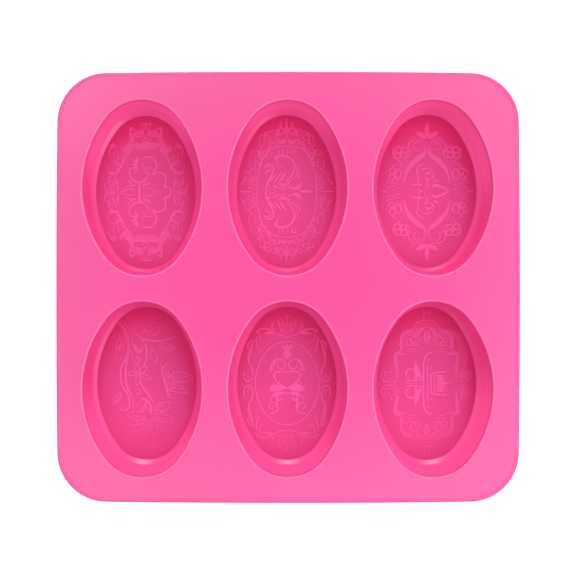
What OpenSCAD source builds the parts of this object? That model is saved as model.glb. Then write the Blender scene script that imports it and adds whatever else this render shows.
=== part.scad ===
// Six-cup oval soap mould: one flexible sheet with six deep oval cups.
// Each cup has a raised ornament on its floor.
// Frame: origin at the centre of the resting plane, +Z up, +X along the longer side, +Y to the back row.
// Every node meets its neighbours face to face.

/* [Sheet] */
// Overall width, left to right
mould_w = 215; // [212:1:240]
// Overall length, front to back
mould_l = 200; // [197:1:230]
// Overall height, from the resting plane to the top of the edge bead
mould_h = 25; // [20:1:40]
// Corner radius of the outline, seen from above
corner_r = 23; // [10:1:28]
// Thickness of the flat sheet between the cups
deck_t = 2.4; // [1.5:0.1:4]

/* [Edge bead] */
// Width of the thickened edge
bead_w = 2; // [1.2:0.1:2.5]
// How far the edge stands above the sheet
bead_rise = 0.2; // [0.1:0.1:1]
// How far the edge hangs below the sheet
bead_drop = 1; // [0.5:0.1:3]

/* [Cups] */
// Cup spacing, left to right
pitch_x = 67.5; // [64:0.5:68.5]
// Cup spacing, front to back
pitch_y = 93.5; // [88:0.5:96]
// Width of a cup's mouth
mouth_w = 57; // [50:1:58]
// Length of a cup's mouth
mouth_l = 83; // [76:1:84]
// Radius of the mouth's two tight ends
mouth_end_r = 22; // [18:0.5:23]
// Rounding of the lip, where the sheet turns down into a cup
lip_r = 1.1; // [0.3:0.1:1.2]
// Inward lean of a cup's wall, from the lip to the foot of the wall
wall_lean = 0.2; // [0:0.1:1]
// Wall thickness below the lip
wall_t = 2; // [1.4:0.1:3]
// Thickness of a cup's floor
floor_t = 2; // [1.2:0.1:3]
// Width of the bevel between wall and floor
bevel_w = 3.1; // [1.5:0.1:4]
// Height of that bevel
bevel_h = 2.2; // [1:0.1:4]
// Outer rounding where a cup's wall turns under its floor
foot_r = 2.5; // [1:0.1:3]

/* [Ornaments] */
// Height of the raised ornaments
relief_h = 0.5; // [0.3:0.1:1.2]
// Width of an ornament's ordinary lines
line_w = 0.9; // [0.6:0.1:1.2]
// Gaps narrower than twice this are closed where lines of an ornament meet
blend = 0.15; // [0.05:0.05:0.3]

/* [Hidden] */
$fn = 96;
eps = 0.01;

// Places of the cups, counted from the back left to the front right
columns = 3;
cups = 6;
BACK_LEFT = 0;
BACK_MIDDLE = 1;
BACK_RIGHT = 2;
FRONT_LEFT = 3;
FRONT_MIDDLE = 4;
FRONT_RIGHT = 5;
function cup_at(i) = [(i % columns - 1) * pitch_x, (i < columns ? 1 : -1) * pitch_y / 2, 0];

// Heights
deck_top = mould_h - bead_rise;
deck_under = deck_top - deck_t;
bead_under = deck_under - bead_drop;

// A four-centre oval: two end arcs and two side arcs that meet on the lines through their centres
end_y = mouth_l / 2 - mouth_end_r;
side_r = (pow(mouth_w / 2, 2) + pow(end_y, 2) - pow(mouth_end_r, 2)) / (mouth_w - 2 * mouth_end_r);
side_x = side_r - mouth_w / 2;
joint_a = atan2(end_y, side_x);

// The wall's section, measured outward from the mouth's outline
wall_in_top = -lip_r;
wall_in_foot = wall_in_top - wall_lean;
floor_edge = wall_in_foot - bevel_w;
wall_out = wall_t - lip_r;
foot_flat = wall_out - foot_r;

// Colours
silicone = [0.93, 0.37, 0.58];
silicone_wall = [0.90, 0.30, 0.52];
silicone_floor = [0.86, 0.26, 0.47];
silicone_relief = [0.95, 0.45, 0.66];

// Steps of the wall's roundings
lip_steps = 4;
foot_steps = 5;

// Steps of the ornaments' curves
arc_step = 30;
curve_steps = 5;
dot_sides = 8;
leaf_steps = 3;

// How far an outlined leaf stays solid at each tip, in line widths
solid_tip = 1.6;

function arc_points(c, r, a0, a1, steps) =
    [for (i = [0:steps]) let (a = a0 + (a1 - a0) * i / steps) c + r * [cos(a), sin(a)]];

module both_sides() { children(); mirror([1, 0, 0]) children(); }
module both_ends() { children(); mirror([0, 1, 0]) children(); }
module four_ways() both_sides() both_ends() children();

// Turns a section, drawn outward from the mouth's outline, round the whole oval, a quarter at a time
module oval_ring() four_ways() {
    translate([0, end_y, 0]) rotate_extrude(start = joint_a, angle = 90 - joint_a)
        translate([mouth_end_r, 0]) children();
    translate([-side_x, 0, 0]) rotate_extrude(start = 0, angle = joint_a)
        translate([side_r, 0]) children();
}

// A solid oval, larger than the mouth by grow on every side
module oval_block(grow, h) four_ways() {
    hub = side_x / 2;
    translate([0, end_y, 0]) rotate_extrude(start = joint_a, angle = 90 - joint_a)
        square([mouth_end_r + grow, h]);
    translate([-side_x, 0, 0]) rotate_extrude(start = 0, angle = joint_a)
        translate([hub, 0]) square([side_r + grow - hub, h]);
}

// Does something once in each quarter of a rounded rectangle, at the centre of its corner arc
module at_corners(w, l, r) {
    for (turn = [0, 180]) rotate([0, 0, turn]) {
        translate([w / 2 - r, l / 2 - r, 0]) children();
        translate([r - w / 2, l / 2 - r, 0]) rotate([0, 0, 90]) children();
    }
}

module rounded_plate(w, l, r, h) {
    translate([-w / 2, r - l / 2, 0]) cube([w, l - 2 * r, h]);
    translate([r - w / 2, -l / 2, 0]) cube([w - 2 * r, l, h]);
    at_corners(w, l, r) rotate_extrude(angle = 90) square([r, h]);
}

module deck() color(silicone) translate([0, 0, deck_under]) difference() {
    rounded_plate(mould_w - 2 * bead_w, mould_l - 2 * bead_w, corner_r - bead_w, deck_t);
    for (i = [0:cups - 1]) translate(cup_at(i) - [0, 0, eps]) oval_block(0, deck_t + 2 * eps);
}

// The bead's section, from the outline inward: flat under, rounded over
module bead_section() {
    round_h = bead_w / 2;
    translate([-bead_w, bead_under]) square([bead_w, mould_h - bead_under - round_h]);
    translate([-bead_w / 2, mould_h - round_h]) intersection() {
        circle(r = round_h);
        translate([-round_h, 0]) square([2 * round_h, round_h]);
    }
}

module bead_side(run) rotate([90, 0, 0]) translate([0, 0, -run / 2]) linear_extrude(run) bead_section();

module rim_bead() color(silicone) {
    for (turn = [0, 180]) rotate([0, 0, turn]) {
        translate([mould_w / 2, 0, 0]) bead_side(mould_l - 2 * corner_r);
        rotate([0, 0, 90]) translate([mould_l / 2, 0, 0]) bead_side(mould_w - 2 * corner_r);
    }
    at_corners(mould_w, mould_l, corner_r) rotate_extrude(angle = 90)
        translate([corner_r, 0]) bead_section();
}

module wall_section() polygon(concat(
    arc_points([0, deck_top - lip_r], lip_r, 90, 180, lip_steps),
    [[wall_in_foot, floor_t + bevel_h], [floor_edge, floor_t], [floor_edge, 0]],
    arc_points([foot_flat, foot_r], foot_r, -90, 0, foot_steps),
    [[wall_out, deck_under], [0, deck_under]]));

module cup_wall(i) color(silicone_wall) translate(cup_at(i)) oval_ring() wall_section();

module cup_base(i) color(silicone_floor) translate(cup_at(i)) oval_block(floor_edge, floor_t);

// Ornaments are drawn flat, about the middle of a cup's floor, from a few kinds of line

module line_through(points, w = line_w) {
    last = len(points) - 1;
    side = [for (i = [0:last])
        let (along = points[min(i + 1, last)] - points[max(i - 1, 0)])
        w / 2 * [-along[1], along[0]] / norm(along)];
    polygon(concat([for (i = [0:last]) points[i] + side[i]],
        [for (i = [last:-1:0]) points[i] - side[i]]));
    for (end = [points[0], points[last]]) translate(end) circle(d = w, $fn = dot_sides);
}

// A round stroke about c, whose radius goes from r0 to r1 as it turns from a0 to a1
module curl(c, r0, r1, a0, a1, w = line_w) {
    steps = ceil(abs(a1 - a0) / arc_step);
    line_through([for (i = [0:steps])
        let (t = i / steps, a = a0 + (a1 - a0) * t) c + (r0 + (r1 - r0) * t) * [cos(a), sin(a)]], w);
}

module bow(c, r, a0, a1, w = line_w) curl(c, r, r, a0, a1, w);

// A smooth stroke from a to d, drawn towards b and then c
module sweep(a, b, c, d, w = line_w)
    line_through([for (i = [0:curve_steps])
        let (t = i / curve_steps, s = 1 - t)
        s * s * s * a + 3 * s * s * t * b + 3 * s * t * t * c + t * t * t * d], w);

module leaf(base, angle, length, width) {
    r = (pow(length / 2, 2) + pow(width / 2, 2)) / width;
    half = asin(length / 2 / r);
    translate(base) rotate(angle) polygon(concat(
        arc_points([length / 2, width / 2 - r], r, 90 - half, 90 + half, leaf_steps),
        arc_points([length / 2, r - width / 2], r, 270 - half, 270 + half, leaf_steps)));
}

module dot(c, d) translate(c) circle(d = d, $fn = dot_sides);

module ornament(i) color(silicone_relief) translate(cup_at(i) + [0, 0, floor_t])
    linear_extrude(relief_h) offset(delta = -blend) offset(delta = blend) children();

module relief_leaf_cartouche() ornament(BACK_LEFT) {
    four_ways() {
        line_through([[5.6, 24.5], [9.8, 17.5], [14, 9.5]]);
        line_through([[7.4, 25.5], [9.6, 20.5]]);
        leaf([0.6, 25.5], 70, 7.5, 1.8);
        sweep([0, 21.5], [2, 22.5], [4, 21.5], [5, 24]);
        curl([6.4, 29.4], 2.2, 1, -120, 130);
        curl([15.2, 19.4], 4, 2.4, -100, 150);
        bow([15, 18], 1.6, -20, 160);
        leaf([10.5, 19.6], 35, 4.5, 1.8);
        line_through([[15.2, 11.8], [18.6, 11.8]]);
        sweep([13.6, 9.6], [16, 9.4], [18.6, 9], [19, 12.4]);
        line_through([[14, 1.2], [14.8, 6.4]]);
        curl([17.2, 4.6], 2.6, 1, -150, 120);
        bow([19.6, 0], 3.4, 30, 110);
    }
    both_ends() {
        bow([-3.2, 10], 5.2, 165, 320);
        curl([0.5, 12.9], 4.5, 4, 150, -65);
        leaf([-5.2, 9.2], 100, 3.5, 1.6);
        leaf([-7, 13.2], 20, 3.2, 1.6);
        leaf([-6, 17.4], -30, 3, 1.6);
        line_through([[-2, 15.6], [-0.4, 11]]);
        line_through([[-1, 12], [2.8, 12]]);
        bow([6.4, 5.8], 3.3, 140, -20);
        line_through([[9.4, 4.6], [9.4, 2.4]]);
        bow([10, 0], 2.2, 80, 0);
        leaf([-12, 0.4], 25, 5, 1.6);
        leaf([-9.4, 3.4], 20, 6, 1.5);
        leaf([-1.6, 1.6], 4, 5.6, 1.4);
        leaf([-0.6, 3.2], 28, 4, 1.4);
        line_through([[-3.3, 0], [-3.3, 4.4]]);
    }
    leaf([2.6, 0], 0, 4.6, 1.6);
}

module relief_lace_palmette() ornament(BACK_MIDDLE) {
    // a thin inner oval, and a lace border of small curls outside it
    four_ways() {
        sweep([0, 22.6], [6.5, 22.4], [12.6, 17], [13.4, 11]);
        sweep([13.4, 11], [14, 7.5], [14.3, 4], [14.3, 0]);
        line_through([[0, 26.4], [0, 35]]);
        line_through([[1.4, 30.6], [2.8, 33.8]]);
        bow([1.9, 29.2], 1.6, -70, 150);
        bow([4.9, 28.8], 1.7, 170, -150);
        for (x = [1.5, 4.8]) bow([x, 24.2], 1.3, -60, 200);
        curl([8.2, 26.4], 2.4, 1, 170, -60);
        curl([7.6, 22.2], 1.7, 0.8, 60, 330);
        curl([11.9, 24.4], 2.3, 1, -120, 150);
        bow([10.6, 18.8], 1.6, 0, 300);
        curl([14.6, 18.9], 1.8, 0.9, 200, -60);
        bow([17, 14], 2.6, 120, -100);
        bow([14.6, 13], 1.5, -30, 240);
        curl([18.4, 8.6], 2, 1, -120, 130);
        bow([16, 7.4], 1.5, 40, 330);
        bow([15.6, 2.4], 1.5, -90, 180);
        curl([18.4, 3.2], 1.8, 0.9, 200, -40);
        leaf([19.8, 2.4], 35, 3.4, 1.2);
        line_through([[18, 0], [22.4, 0]]);
    }
    // the palmette, opening to the right
    both_ends() {
        sweep([-9.6, 0], [-9.8, 4.4], [-6.4, 6.4], [-6.6, 10.6]);
        curl([-8.4, 11.4], 2.3, 1, -10, 260);
        sweep([-5.4, 3.4], [-1.6, 4.4], [4.6, 6.8], [3.8, 12]);
        curl([-0.4, 12.8], 4.3, 4.5, 0, 100);
        sweep([0.2, 4], [4, 5], [6.4, 8.4], [5.2, 13]);
        for (k = [0:3]) leaf([-8 + 2 * k, 4], 52 - 4 * k, 5.6, 1.2);
        sweep([-4, 3.6], [-0.8, 4.4], [3, -0.4], [5.6, 0.8]);
        curl([5.6, 2.5], 1.8, 1.4, -90, 60);
        leaf([-4.6, 1.5], 6, 4.6, 1.2);
        leaf([-8.8, 1.2], 10, 3.6, 1.3);
        bow([-4.4, 13.6], 1.4, 60, 270);
        for (k = [0:3]) line_through([[-4 + 2.1 * k, 18], [-3.4 + 2 * k, 20]]);
        line_through([[-4, 17.4], [1, 17.4]]);
    }
    leaf([6.6, 0], 0, 6, 1.4);
}

module relief_damask_scrolls() ornament(BACK_RIGHT) {
    four_ways() {
        // four thick crescents with scrolled ends make a pointed frame
        leaf([11.2, 5], 112, 19.5, 2.6);
        line_through([[12.8, 4.2], [11.8, 10.4], [9.4, 14.8]]);
        bow([5.2, 20.6], 4.9, 215, 15);
        bow([4.6, 21.4], 1.9, -80, 140);
        leaf([1.2, 25.8], 40, 4.4, 2.4);
        // lace at the side
        bow([15.4, 18.8], 2.2, -60, 190);
        bow([11.4, 18.6], 2.4, 30, 230);
        bow([13.2, 15.6], 1.2, 0, 300);
        curl([15, 8.6], 3.6, 1.4, 170, -110);
        curl([17.6, 8.6], 2.4, 1.2, -60, 120);
        bow([15.6, 2.6], 1.5, -80, 200);
        bow([18.6, 3], 1.4, -60, 200);
        line_through([[12.6, 1], [14, 3.4]]);
    }
    both_ends() {
        leaf([0, 28], 90, 6, 2.4);
        sweep([-1.6, 13], [-4, 12.6], [-4.8, 10.8], [-4.4, 7.6]);
        line_through([[-4.4, 7.6], [-4.4, 3]]);
        line_through([[-6.8, 3.1], [-2.6, 3.1]]);
        bow([0.2, 8.6], 2.2, 150, 0);
        dot([0.3, 8.6], 1.8);
        line_through([[-1.4, 5.8], [-1, 0.8]]);
        for (k = [0:2]) leaf([2.2, 6.6 - 1.8 * k], 44 - 18 * k, 3.2 + 0.5 * k, 1);
        sweep([2.2, 2.2], [5, 2.4], [8, 1.4], [10, 0]);
        bow([1.2, 4], 1.3, 90, 270);
    }
    both_sides() line_through([[20.2, 0], [22.4, 0]]);
}

module relief_vine_and_butterfly() ornament(FRONT_LEFT) {
    // the vine's two stems
    sweep([-13.6, 29], [-8.6, 24.6], [-9, 20], [-9.2, 14]);
    sweep([-11, 29], [-7.4, 25.6], [-8.8, 18], [-9.4, 11.4]);
    sweep([-9.4, 11.6], [-14, 8], [-13.4, -1], [-9.6, -5.4]);
    sweep([-10, 9.6], [-11.4, 3], [-10.6, -2], [-7.6, -5.6]);
    sweep([-9.6, -5.4], [-8.2, -8], [-8.6, -12], [-10.8, -13.4]);
    sweep([-7.6, -5.6], [-6.4, -8], [-6.8, -11], [-6.6, -14]);
    curl([-11.6, -12.4], 1.5, 0.8, -60, -260);
    // tendrils and leaves at the top
    sweep([-7.4, 27.6], [-5, 23.4], [-0.6, 24.2], [-0.2, 27]);
    sweep([-7, 24.6], [0, 19.6], [7, 19.6], [13.4, 22.6]);
    sweep([-2.6, 21.4], [1, 18], [0.4, 12], [-1.4, 8.8]);
    sweep([-7.8, 20], [-5.6, 14.6], [-2.4, 13.6], [-2.2, 17.6]);
    sweep([-7.8, 17], [-8, 10], [-5, 9.6], [-3.4, 11.2]);
    leaf_outline([0.8, 22.4], 42, 7.4, 3.6);
    leaf_outline([6.2, 18.6], -12, 7.6, 3.6);
    leaf_outline([2.4, 16.4], -72, 7.2, 3.2);
    leaf_outline([-15.2, 15.8], 66, 8.4, 4);
    leaf_outline([-15.6, 13.4], 12, 6, 3);
    leaf_outline([-16, -9.8], 62, 7.2, 3);
    // a star flower halfway down
    for (k = [0:4]) leaf_outline([-4 + 0.8 * cos(72 * k), 4.4 + 0.8 * sin(72 * k)], 72 * k + 20, 5, 2.6);
    sweep([-3.2, 0.6], [-2.2, -3.4], [1.2, -6], [3, -9.4]);
    // the large flower at the foot
    for (turn = [20:45:335]) leaf_outline([0.6 + 3 * cos(turn), -15 + 2.6 * sin(turn)], turn, 8.4, 4);
    dot([0.9, -15.6], 2.4);
    // the butterfly
    leaf([7.4, -7.6], 68, 12, 2);
    leaf_outline([10.4, 1], 62, 7.2, 4);
    leaf_outline([10.6, 0.6], 16, 12.4, 5);
    leaf_outline([10.6, -0.4], -22, 9.4, 4.2);
    for (k = [0:3]) leaf([10.2, -2.4 - 1.4 * k], -14, 3.8, 0.9);
    sweep([7.6, 4], [7.2, 7], [8.6, 9], [7.6, 10.6]);
}

module leaf_outline(base, angle, length, width) {
    difference() {
        leaf(base, angle, length, width);
        inset = line_w * solid_tip;
        translate(base) rotate(angle) translate([inset, 0])
            leaf([0, 0], 0, length - 2 * inset, width * (1 - 2 * line_w / width));
    }
}

module relief_crowned_heart() ornament(FRONT_MIDDLE) {
    both_sides() {
        // inner oval ring
        both_ends() {
            sweep([0, 20.4], [6.2, 20.4], [12.4, 16.6], [14.6, 8.4]);
            sweep([14.6, 8.4], [15.2, 6], [15.5, 3], [15.5, 0]);
            // corner and side scrolls
            sweep([1, 23], [7, 23.6], [10.6, 27.8], [15, 24.4], 1.2);
            curl([12.6, 22], 2.4, 1.6, 60, -150);
            curl([17, 17.8], 2.6, 2.6, 180, 40);
            leaf([17.6, 18.8], -82, 10, 2.4);
            sweep([18.8, 12], [18.6, 8.6], [16.2, 8], [16.8, 4]);
            curl([19, 3], 2.2, 1, 180, 420);
            leaf([5.8, 25.6], 60, 4, 1.6);
            // crown
            line_through([[2.6, 25.4], [4.2, 30.4], [2.2, 31]]);
            line_through([[0.4, 26.8], [2.8, 30.6]]);
            line_through([[0, 28], [0, 33]]);
            line_through([[0, 25.2], [2.6, 25.4]]);
        }
        // horns, heart and garland
        curl([2.4, 9.4], 1.2, 2.2, 30, -250);
        sweep([0.8, 11], [4, 13.4], [8.6, 10], [8.2, 5.6]);
        sweep([0, 5.2], [3.6, 7.4], [8.6, 5.4], [4.2, 0.4], 1.1);
        line_through([[4.2, 0.4], [0, -2.6]], 1.1);
        leaf([0.8, -2.2], -8, 8, 3);
        leaf([5, -1], -25, 4, 1.8);
        sweep([0, -4.6], [3.4, -4.4], [7.4, -4.4], [8, -8]);
        curl([3.2, -6.8], 1.8, 0.8, 20, 300);
        sweep([5, -6], [4.8, -9], [4, -13], [8, -14.8]);
        curl([7, -11.2], 1.9, 0.8, 100, -200);
        leaf([1.4, 15.4], 68, 3, 1.1);
    }
    leaf([0, 11.4], 90, 7.4, 3.4);
}

module relief_bracket_fan() ornament(FRONT_RIGHT) {
    four_ways() {
        // stepped bracket frame in double lines
        for (gap = [0, 2]) {
            bow([8, 19.2], 7.2 - gap, 105, 10);
            line_through([[6, 26.2 - gap], [8, 26.2 - gap]]);
            sweep([10.6, 14.6 - gap * 0.6], [14, 15.4 - gap], [17, 14 - gap], [15.4 - gap * 0.7, 8]);
        }
        bow([0, 23], 6.6, 90, 30);
        bow([1.6, 26], 3.6, 130, -20);
        line_through([[1.4, 30.6], [1.4, 34]]);
        for (k = [0:3]) line_through([[4.8, 23.4 - 2.3 * k], [9.2, 23.8 - 2.4 * k]]);
        bow([18.2, 4.4], 3.6, 150, 380);
        line_through([[16.6, 4.2], [20, 4.2]]);
        leaf([0.6, 19.4], 70, 5.4, 1.6);
    }
    both_ends() {
        bow([0, 34], 1.4, 0, 90);
        bow([0, 34], 1.4, 90, 180);
        line_through([[-1.2, 0], [-1.2, 11.6]]);
        bow([1.2, 12.2], 2.4, 180, 60);
        leaf([2, 14.8], 0, 1.8, 1.4);
        bow([-7.6, 4.4], 2.7, -60, 250);
        leaf([-3.4, 2], 100, 9.6, 2.4);
        line_through([[-10, 1.4], [-4, 1.2]]);
        sweep([1.6, 0], [1.2, 3], [1.4, 6], [9, 6]);
        for (k = [0:2]) line_through([[2.8, 3.8 - 1.4 * k], [8.6 + 0.6 * k, 4.4 - 1.6 * k]]);
    }
    line_through([[6, 0], [11.4, 0]]);
}

deck();
rim_bead();
cup_wall(BACK_LEFT);  // cup_wall_back_left
cup_wall(BACK_MIDDLE);  // cup_wall_back_middle
cup_wall(BACK_RIGHT);  // cup_wall_back_right
cup_wall(FRONT_LEFT);  // cup_wall_front_left
cup_wall(FRONT_MIDDLE);  // cup_wall_front_middle
cup_wall(FRONT_RIGHT);  // cup_wall_front_right
cup_base(BACK_LEFT);  // cup_base_back_left
cup_base(BACK_MIDDLE);  // cup_base_back_middle
cup_base(BACK_RIGHT);  // cup_base_back_right
cup_base(FRONT_LEFT);  // cup_base_front_left
cup_base(FRONT_MIDDLE);  // cup_base_front_middle
cup_base(FRONT_RIGHT);  // cup_base_front_right
relief_leaf_cartouche();
relief_lace_palmette();
relief_damask_scrolls();
relief_vine_and_butterfly();
relief_crowned_heart();
relief_bracket_fan();
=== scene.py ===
"""Six-cup oval soap mould in pink silicone, seen from straight above on a pale floor."""
import math
import bpy
import numpy as np
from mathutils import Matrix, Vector, geometry


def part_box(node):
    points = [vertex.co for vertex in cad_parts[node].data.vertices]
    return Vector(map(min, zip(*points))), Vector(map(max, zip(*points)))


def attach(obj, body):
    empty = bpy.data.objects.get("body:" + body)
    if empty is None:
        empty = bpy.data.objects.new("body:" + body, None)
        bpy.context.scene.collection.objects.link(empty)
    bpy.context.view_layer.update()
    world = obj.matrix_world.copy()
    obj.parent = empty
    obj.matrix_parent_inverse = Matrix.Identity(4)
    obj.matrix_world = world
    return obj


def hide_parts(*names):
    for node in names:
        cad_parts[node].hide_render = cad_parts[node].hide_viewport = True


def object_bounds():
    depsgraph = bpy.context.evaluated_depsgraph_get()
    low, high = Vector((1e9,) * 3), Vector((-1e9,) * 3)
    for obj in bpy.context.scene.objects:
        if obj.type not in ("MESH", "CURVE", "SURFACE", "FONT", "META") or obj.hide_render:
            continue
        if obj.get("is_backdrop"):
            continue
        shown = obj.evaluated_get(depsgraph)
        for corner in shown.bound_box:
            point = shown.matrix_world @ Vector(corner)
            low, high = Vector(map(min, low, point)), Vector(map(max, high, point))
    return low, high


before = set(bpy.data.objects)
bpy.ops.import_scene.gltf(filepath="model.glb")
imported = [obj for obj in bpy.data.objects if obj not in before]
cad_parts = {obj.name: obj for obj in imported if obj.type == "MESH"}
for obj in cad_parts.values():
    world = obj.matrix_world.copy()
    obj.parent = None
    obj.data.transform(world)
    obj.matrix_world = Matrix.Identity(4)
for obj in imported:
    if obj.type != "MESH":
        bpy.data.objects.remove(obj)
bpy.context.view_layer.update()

# ---------------------------------------------------------------- sizes, in millimetres, from the parts in model.glb

MM = 0.001
ROWS, COLUMNS = ("back", "front"), ("left", "middle", "right")
CUPS = [f"{row}_{column}" for row in ROWS for column in COLUMNS]


def box_mm(node):
    low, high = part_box(node)
    return np.array(low) / MM, np.array(high) / MM


# the soft sheet is not quite true: how far the mouths of each row stand off their places
DRIFT = {"back": (-0.25, -0.6), "front": (-0.25, -0.45)}


def cup_centre(cup):
    low, high = box_mm("cup_base_" + cup)
    return (low[:2] + high[:2]) / 2 + DRIFT[cup.split("_")[0]]


deck_low, deck_high = box_mm("deck")
bead_low, bead_high = box_mm("rim_bead")
wall_low, wall_high = box_mm("cup_wall_back_middle")

DECK_TOP, DECK_UNDER = deck_high[2], deck_low[2]
BEAD_TOP, BEAD_UNDER = bead_high[2], bead_low[2]
BEAD_W = bead_high[0] - deck_high[0]
FLOOR_TOP = box_mm("cup_base_back_middle")[1][2]

HALF_W, HALF_L = bead_high[0], bead_high[1]
CORNER_R = 23.0
SIDE_BOW_R = 6000.0          # the outline's sides are very slightly bowed

# the cup wall's section, measured outward from the mouth's outline
LIP_R = 1.1
WALL_LEAN = 0.2
WALL_T = 2.0
BEVEL_W, BEVEL_H = 3.1, 2.2
FOOT_R = 2.5
WALL_OUT = WALL_T - LIP_R
WALL_FOOT_IN = -LIP_R - WALL_LEAN
FLOOR_EDGE = WALL_FOOT_IN - BEVEL_W

# the mouth is a four-centre oval
MOUTH_END_R = 22.0
MOUTH_HALF_W = (wall_high[0] - wall_low[0]) / 2 - WALL_OUT
MOUTH_HALF_L = (wall_high[1] - wall_low[1]) / 2 - WALL_OUT
END_Y = MOUTH_HALF_L - MOUTH_END_R
SIDE_R = (MOUTH_HALF_W ** 2 + END_Y ** 2 - MOUTH_END_R ** 2) / (2 * (MOUTH_HALF_W - MOUTH_END_R))
SIDE_X = SIDE_R - MOUTH_HALF_W
JOINT_A = math.atan2(END_Y, SIDE_X)


# ---------------------------------------------------------------- outlines

def arc_points(centre, radius, start, end, steps):
    """Points on an arc, in degrees, with both ends."""
    a = np.radians(np.linspace(start, end, steps + 1))
    return np.array(centre) + radius * np.stack([np.cos(a), np.sin(a)], 1)


def in_four_quarters(quarter):
    """A closed outline from its first quarter, which runs from the +X axis to the +Y axis."""
    left = quarter[::-1][1:] * [-1, 1]
    half = np.concatenate([quarter, left])
    return np.concatenate([half, half[::-1][1:-1] * [1, -1]])


def oval(grow, steps=32):
    """The mouth's outline, moved outward by grow on every side."""
    joint = math.degrees(JOINT_A)
    side = arc_points((-SIDE_X, 0), SIDE_R + grow, 0, joint, steps)
    end = arc_points((0, END_Y), MOUTH_END_R + grow, joint, 90, steps)
    return in_four_quarters(np.concatenate([side, end[1:]]))


def corner_centre():
    """Centre of the corner arc that runs smoothly into both bowed sides."""
    reach = SIDE_BOW_R - CORNER_R
    x, y = HALF_W - CORNER_R, HALF_L - CORNER_R
    for _ in range(30):
        x = HALF_W - SIDE_BOW_R + math.sqrt(reach ** 2 - y ** 2)
        y = HALF_L - SIDE_BOW_R + math.sqrt(reach ** 2 - x ** 2)
    return x, y


def outline(inset, steps=28):
    """The sheet's outline, moved inward by inset."""
    x, y = corner_centre()
    side_c, end_c = (HALF_W - SIDE_BOW_R, 0), (0, HALF_L - SIDE_BOW_R)
    low = math.degrees(math.atan2(y, x - side_c[0]))
    high = math.degrees(math.atan2(y - end_c[1], x))
    side = arc_points(side_c, SIDE_BOW_R - inset, 0, low, steps)
    corner = arc_points((x, y), CORNER_R - inset, low, high, steps)
    end = arc_points(end_c, SIDE_BOW_R - inset, high, 90, steps)
    return in_four_quarters(np.concatenate([side, corner[1:], end[1:]]))


# ---------------------------------------------------------------- meshes

SLACK = 0.22                 # greatest height of the soft sheet's dips
# how far each soft cup's floor has moved sideways from under its mouth
SWAY = {
    "back_left": (-0.95, -0.35), "back_middle": (-0.15, 0.1), "back_right": (0.35, 0.3),
    "front_left": (-0.35, 0.65), "front_middle": (0.05, 0.6), "front_right": (0.2, 0.55),
}


def sway(points, cup):
    out = np.array(points, float)
    out[:, :2] += np.outer(1 - np.clip(out[:, 2] / DECK_UNDER, 0, 1), SWAY[cup])
    return out


def relax(points):
    """Soft rubber is never quite flat: all above the resting plane dips a little, in slow waves."""
    out = np.array(points, float)
    x, y, z = out[:, 0], out[:, 1], out[:, 2]
    diagonal = 0.6
    wave = np.sin(x / 23 + 0.6) * np.cos(y / 29 - 0.4) + diagonal * np.sin((x + y) / 17 + 1.9)
    share = np.clip(z / BEAD_TOP, 0, 1) ** 2
    out[:, 2] -= SLACK * share * (1 + diagonal + wave) / (2 + 2 * diagonal)
    return out


def make_piece(name, points, faces, material, sharp=50):
    """A smooth-shaded mesh, with hard edges where faces meet at more than sharp degrees."""
    mesh = bpy.data.meshes.new(name)
    mesh.from_pydata((relax(points) * MM).tolist(), [], faces)
    mesh.update()
    mesh.polygons.foreach_set("use_smooth", [True] * len(mesh.polygons))
    mesh.set_sharp_from_angle(angle=math.radians(sharp))
    piece = bpy.data.objects.new(name, mesh)
    bpy.context.scene.collection.objects.link(piece)
    mesh.materials.append(material)
    return piece


def settle(piece, slot, *nodes):
    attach(piece, "root")
    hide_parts(*nodes)


def sweep_ring(loops):
    """A closed tube through a list of loops with equal counts: the last joins the first."""
    n = len(loops[0])
    points = np.concatenate(loops)
    faces = []
    for i in range(len(loops)):
        a, b = i * n, (i + 1) % len(loops) * n
        for j in range(n):
            k = (j + 1) % n
            faces.append((a + j, a + k, b + k, b + j))
    return points, faces


def at_height(loop, z):
    return np.column_stack([loop, np.full(len(loop), z)])


def inside(points, loop):
    """Which points lie inside a closed outline."""
    x, y = points[:, 0][:, None], points[:, 1][:, None]
    x0, y0 = loop[:, 0], loop[:, 1]
    x1, y1 = np.roll(x0, -1), np.roll(y0, -1)
    crosses = (y0 > y) != (y1 > y)
    with np.errstate(divide="ignore", invalid="ignore"):
        at = x0 + (y - y0) / (y1 - y0) * (x1 - x0)
    return (crosses & (x < at)).sum(1) % 2 == 1


ROW_PITCH = 0.866            # rows of an even triangle grid, as a share of its spacing
EDGE_GAP = 0.55              # least distance from a grid point to an outline, as a share of the spacing


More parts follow.
